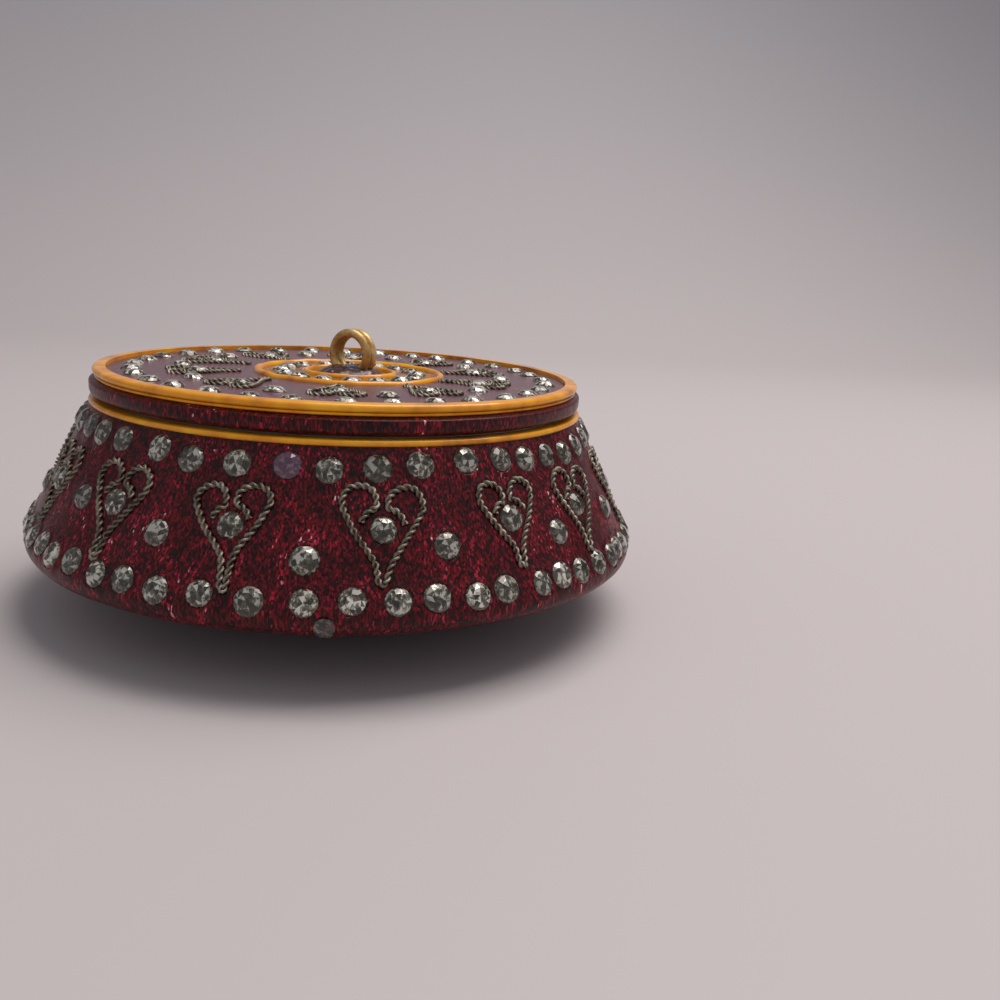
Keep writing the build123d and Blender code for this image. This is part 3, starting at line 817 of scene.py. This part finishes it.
# Geometry Nodes: a tree with named inputs on a source mesh, read back as a plain mesh
def runTree(name, source, tree, values):
    holder = bpy.data.objects.new(name + "Source", source)
    bpy.context.scene.collection.objects.link(holder)
    modifier = holder.modifiers.new(name, "NODES")
    modifier.node_group = tree
    sockets = {s.name: s.identifier for s in tree.interface.items_tree if s.in_out == "INPUT"}
    for title, value in values.items():
        modifier[sockets[title]] = value
    depsgraph = bpy.context.evaluated_depsgraph_get()
    mesh = bpy.data.meshes.new_from_object(holder.evaluated_get(depsgraph), preserve_all_data_layers=True,
                                           depsgraph=depsgraph)
    mesh.name = name
    holder.modifiers.clear()
    bpy.data.objects.remove(holder)
    return mesh


def startTree(name, inputs):
    tree = bpy.data.node_groups.new(name, "GeometryNodeTree")
    tree.interface.new_socket(name="Geometry", in_out="INPUT", socket_type="NodeSocketGeometry")
    for title, kind in inputs.items():
        tree.interface.new_socket(name=title, in_out="INPUT", socket_type="NodeSocket" + kind)
    tree.interface.new_socket(name="Geometry", in_out="OUTPUT", socket_type="NodeSocketGeometry")
    return tree, addNode(tree, "NodeGroupInput")


# One pressed stone: a round girdle, two rows of facets and a flat top. Each ring gives its height, radius,
# corners and turn in corners.
stone = {"radius": 1.6, "top": 0.74, "jitter": 0.05, "seed": 5,
         "rings": [(-0.30, 1.45, 16, 0), (0.12, 1.6, 16, 0), (0.40, 1.36, 16, 0.5), (0.72, 0.86, 8, 0.5)]}


def makeStone():
    shape = bmesh.new()
    for height, radius, sides, shift in stone["rings"]:
        for k in range(sides):
            angle = tau * (k + shift) / sides
            shape.verts.new((radius * cos(angle) * mm, radius * sin(angle) * mm, height * mm))
    shape.verts.new((0, 0, stone["top"] * mm))
    bmesh.ops.convex_hull(shape, input=shape.verts)
    mesh = bpy.data.meshes.new("stone")
    shape.to_mesh(mesh)
    shape.free()
    layer = mesh.attributes.new("girdle", "FLOAT", "POINT")
    layer.data.foreach_set("value", [hypot(v.co.x, v.co.y) / (stone["radius"] * mm) for v in mesh.vertices])
    holder = bpy.data.objects.new("stone", mesh)
    bpy.context.scene.collection.objects.link(holder)
    return holder


def makeStoneTree():
    tree, given = startTree("pressedStones", {"Stone": "Object", "Size jitter": "Float", "Seed": "Int",
                                              "Finish": "Material"})
    aim = addNode(tree, "GeometryNodeInputNamedAttribute", {"Name": "aim"}, data_type="FLOAT_VECTOR")
    size = addNode(tree, "GeometryNodeInputNamedAttribute", {"Name": "size"}, data_type="FLOAT")
    turn = addNode(tree, "FunctionNodeEulerToRotation", {"Euler": aim})
    cut = addNode(tree, "GeometryNodeObjectInfo", {"Object": (given, "Stone")})
    least = addNode(tree, "ShaderNodeMath", {0: 1.0, 1: (given, "Size jitter")}, operation="SUBTRACT")
    most = addNode(tree, "ShaderNodeMath", {0: 1.0, 1: (given, "Size jitter")}, operation="ADD")
    vary = addNode(tree, "FunctionNodeRandomValue", {"Min": least, "Max": most, "Seed": (given, "Seed")},
                   data_type="FLOAT")
    scale = addNode(tree, "ShaderNodeMath", {0: size, 1: vary}, operation="MULTIPLY")
    seated = addNode(tree, "GeometryNodeInstanceOnPoints", {"Points": (given, "Geometry"),
                                                            "Instance": (cut, "Geometry"), "Rotation": turn,
                                                            "Scale": scale})
    real = addNode(tree, "GeometryNodeRealizeInstances", {"Geometry": seated})
    chance = addNode(tree, "FunctionNodeRandomValue", {"Min": 0.0, "Max": 1.0, "Seed": (given, "Seed")},
                     data_type="FLOAT")
    marked = addNode(tree, "GeometryNodeStoreNamedAttribute", {"Geometry": real, "Name": "facet",
                                                               "Value": chance},
                     data_type="FLOAT", domain="FACE")
    finished = addNode(tree, "GeometryNodeSetMaterial", {"Geometry": marked, "Material": (given, "Finish")})
    addNode(tree, "NodeGroupOutput", {"Geometry": finished})
    return tree


def seatMesh(seats):
    mesh = bpy.data.meshes.new("seats")
    mesh.from_pydata([seat["place"] * mm for seat in seats], [], [])
    aim = mesh.attributes.new("aim", "FLOAT_VECTOR", "POINT")
    aim.data.foreach_set("vector", [v for seat in seats for v in seat["axes"].to_euler()])
    for name in ("size", "tint", "dim"):
        layer = mesh.attributes.new(name, "FLOAT", "POINT")
        layer.data.foreach_set("value", [seat[name] for seat in seats])
    return mesh


stoneObject = makeStone()
stoneTree = makeStoneTree()
stoneGroups = {
    "upperRowStones": (upperSeats, box, "upper_row_stones"),
    "lowerRowStones": (lowerSeats, box, "lower_row_stones"),
    "heartStones": (heartSeats, box, "heart_stones"),
    "looseStones": (looseSeats, box, "middle_stones"),
    "lidBorderStones": (borderSeats, lid, "lid_border_stones"),
    "lidHeartStones": (lidHeartSeats, lid, "lid_heart_stones"),
    "lidLooseStones": (lidLooseSeats, lid, "lid_loose_stones"),
    "medallionStones": (medallionSeats, lid, "medallion_stones"),
}
for number, (name, (seats, carrier, node)) in enumerate(stoneGroups.items()):
    mesh = runTree(name, seatMesh(seats), stoneTree, {"Stone": stoneObject, "Size jitter": stone["jitter"],
                                                      "Seed": stone["seed"] + number, "Finish": foiledGlass})
    mesh.shade_flat()
    newPiece(name, mesh, carrier, "foiled_glass", node)
bpy.data.objects.remove(stoneObject)
print("stones set")

# Two strands twisted together and laid along each heart
wire = {"strand": 0.225, "offset": 0.2, "lay": 1.7, "step": 0.17, "sides": 7, "lidShare": 0.86}


def makeWireTree():
    tree, given = startTree("twistedStrands", {"Strand radius": "Float", "Strand offset": "Float",
                                               "Lay": "Float", "Step": "Float", "Sides": "Int",
                                               "Finish": "Material"})
    line = addNode(tree, "GeometryNodeMeshToCurve", {"Mesh": (given, "Geometry")})
    even = addNode(tree, "GeometryNodeResampleCurve", {"Curve": line, "Length": (given, "Step")},
                   mode="LENGTH")
    along = addNode(tree, "GeometryNodeSplineParameter")
    turns = addNode(tree, "ShaderNodeMath", {0: (along, "Length"), 1: (given, "Lay")}, operation="DIVIDE")
    tilt = addNode(tree, "ShaderNodeMath", {0: turns, 1: tau}, operation="MULTIPLY")
    twisted = addNode(tree, "GeometryNodeSetCurveTilt", {"Curve": even, "Tilt": tilt})
    strand = addNode(tree, "GeometryNodeCurvePrimitiveCircle", {"Resolution": (given, "Sides"),
                                                                "Radius": (given, "Strand radius")})
    back = addNode(tree, "ShaderNodeMath", {0: (given, "Strand offset"), 1: -1.0}, operation="MULTIPLY")
    sides = []
    for shift in ((given, "Strand offset"), (back, None)):
        place = addNode(tree, "ShaderNodeCombineXYZ", {"X": shift})
        sides.append(addNode(tree, "GeometryNodeTransform", {"Geometry": strand, "Translation": place}))
    pair = addNode(tree, "GeometryNodeJoinGeometry", {"Geometry": sides})
    tube = addNode(tree, "GeometryNodeCurveToMesh", {"Curve": twisted, "Profile Curve": pair,
                                                     "Fill Caps": True})
    real = addNode(tree, "GeometryNodeRealizeInstances", {"Geometry": tube})
    finished = addNode(tree, "GeometryNodeSetMaterial", {"Geometry": real, "Material": (given, "Finish")})
    addNode(tree, "NodeGroupOutput", {"Geometry": finished})
    return tree


wireTree = makeWireTree()


def laidWires(name, paths, share, carrier, node):
    points, edges = [], []
    for path in paths:
        start = len(points)
        points += [p * mm for p in path]
        edges += [(start + k, start + k + 1) for k in range(len(path) - 1)]
    source = bpy.data.meshes.new("paths")
    source.from_pydata(points, edges, [])
    mesh = runTree(name, source, wireTree, {"Strand radius": wire["strand"] * share * mm,
                                            "Strand offset": wire["offset"] * share * mm,
                                            "Lay": wire["lay"] * share * mm, "Step": wire["step"] * mm,
                                            "Sides": wire["sides"], "Finish": twistedWire})
    mesh.shade_smooth()
    newPiece(name, mesh, carrier, "twisted_wire", node)


laidWires("heartWires", wallPaths, 1.0, box, "heart_wires")
laidWires("lidHeartWires", lidPaths, wire["lidShare"], lid, "lid_heart_wires")
print("wires laid")


# Stage, in metres: a pale pinkish-grey floor that bends up into a grey back
stage = {"width": 7.0, "front": -5.0, "back": 0.34, "bend": 0.3, "bendSteps": 24, "top": 1.3, "fade": 0.25,
         "floor": "#C3BCBD", "upright": "#A5A3A8"}


def makeStage():
    line = [(stage["front"], 0.0), (stage["back"], 0.0)]
    line += [(stage["back"] + stage["bend"] * sin(a), stage["bend"] * (1 - cos(a)))
             for a in np.linspace(0, pi / 2, stage["bendSteps"])[1:]]
    line.append((stage["back"] + stage["bend"], stage["top"]))
    half = stage["width"] / 2
    vertices = [(x, y, z) for y, z in line for x in (-half, half)]
    faces = [(2 * k, 2 * k + 1, 2 * k + 3, 2 * k + 2) for k in range(len(line) - 1)]
    mesh = bpy.data.meshes.new("backdrop")
    mesh.from_pydata(vertices, [], faces)
    mesh.shade_smooth()
    material, tree, shader, place = startMaterial("paintedBackdrop", {"Roughness": 0.6})
    parts = addNode(tree, "ShaderNodeSeparateXYZ", {"Vector": (place, "Object")})
    height = addNode(tree, "ShaderNodeMapRange", {"Value": (parts, "Z"), "From Min": 0.0,
                                                  "From Max": stage["fade"]})
    colour = addNode(tree, "ShaderNodeMix", {"Factor": height, "A": stage["floor"], "B": stage["upright"]},
                     data_type="RGBA")
    feed(tree, shader, {"Base Color": colour})
    mesh.materials.append(material)
    backdrop = bpy.data.objects.new("backdrop", mesh)
    bpy.context.scene.collection.objects.link(backdrop)


makeStage()

# Light: an even room and one broad soft lamp above, a little behind and to the right, in metres
light = {"room": 0.45, "roomColour": "#F0F0F6", "lampPower": 3.8, "lampPlace": (0.2, 0.1, 0.62),
         "lampAim": (0, 0, 0.02), "lampSize": 0.5, "lampColour": "#FFF8F2"}
world = bpy.data.worlds.new("room")
bpy.context.scene.world = world
world.use_nodes = True
room = world.node_tree.nodes["Background"].inputs
room["Color"].default_value, room["Strength"].default_value = linear(light["roomColour"]), light["room"]
lampData = bpy.data.lights.new("lamp", "AREA")
lampData.energy, lampData.size = light["lampPower"], light["lampSize"]
lampData.color = linear(light["lampColour"])[:3]
lamp = bpy.data.objects.new("lamp", lampData)
bpy.context.scene.collection.objects.link(lamp)
lampPlace = Vector(light["lampPlace"])
facing = (Vector(light["lampAim"]) - lampPlace).to_track_quat("-Z", "Y").to_matrix().to_4x4()
lamp.matrix_world = Matrix.Translation(lampPlace) @ facing
print("stage and light set")
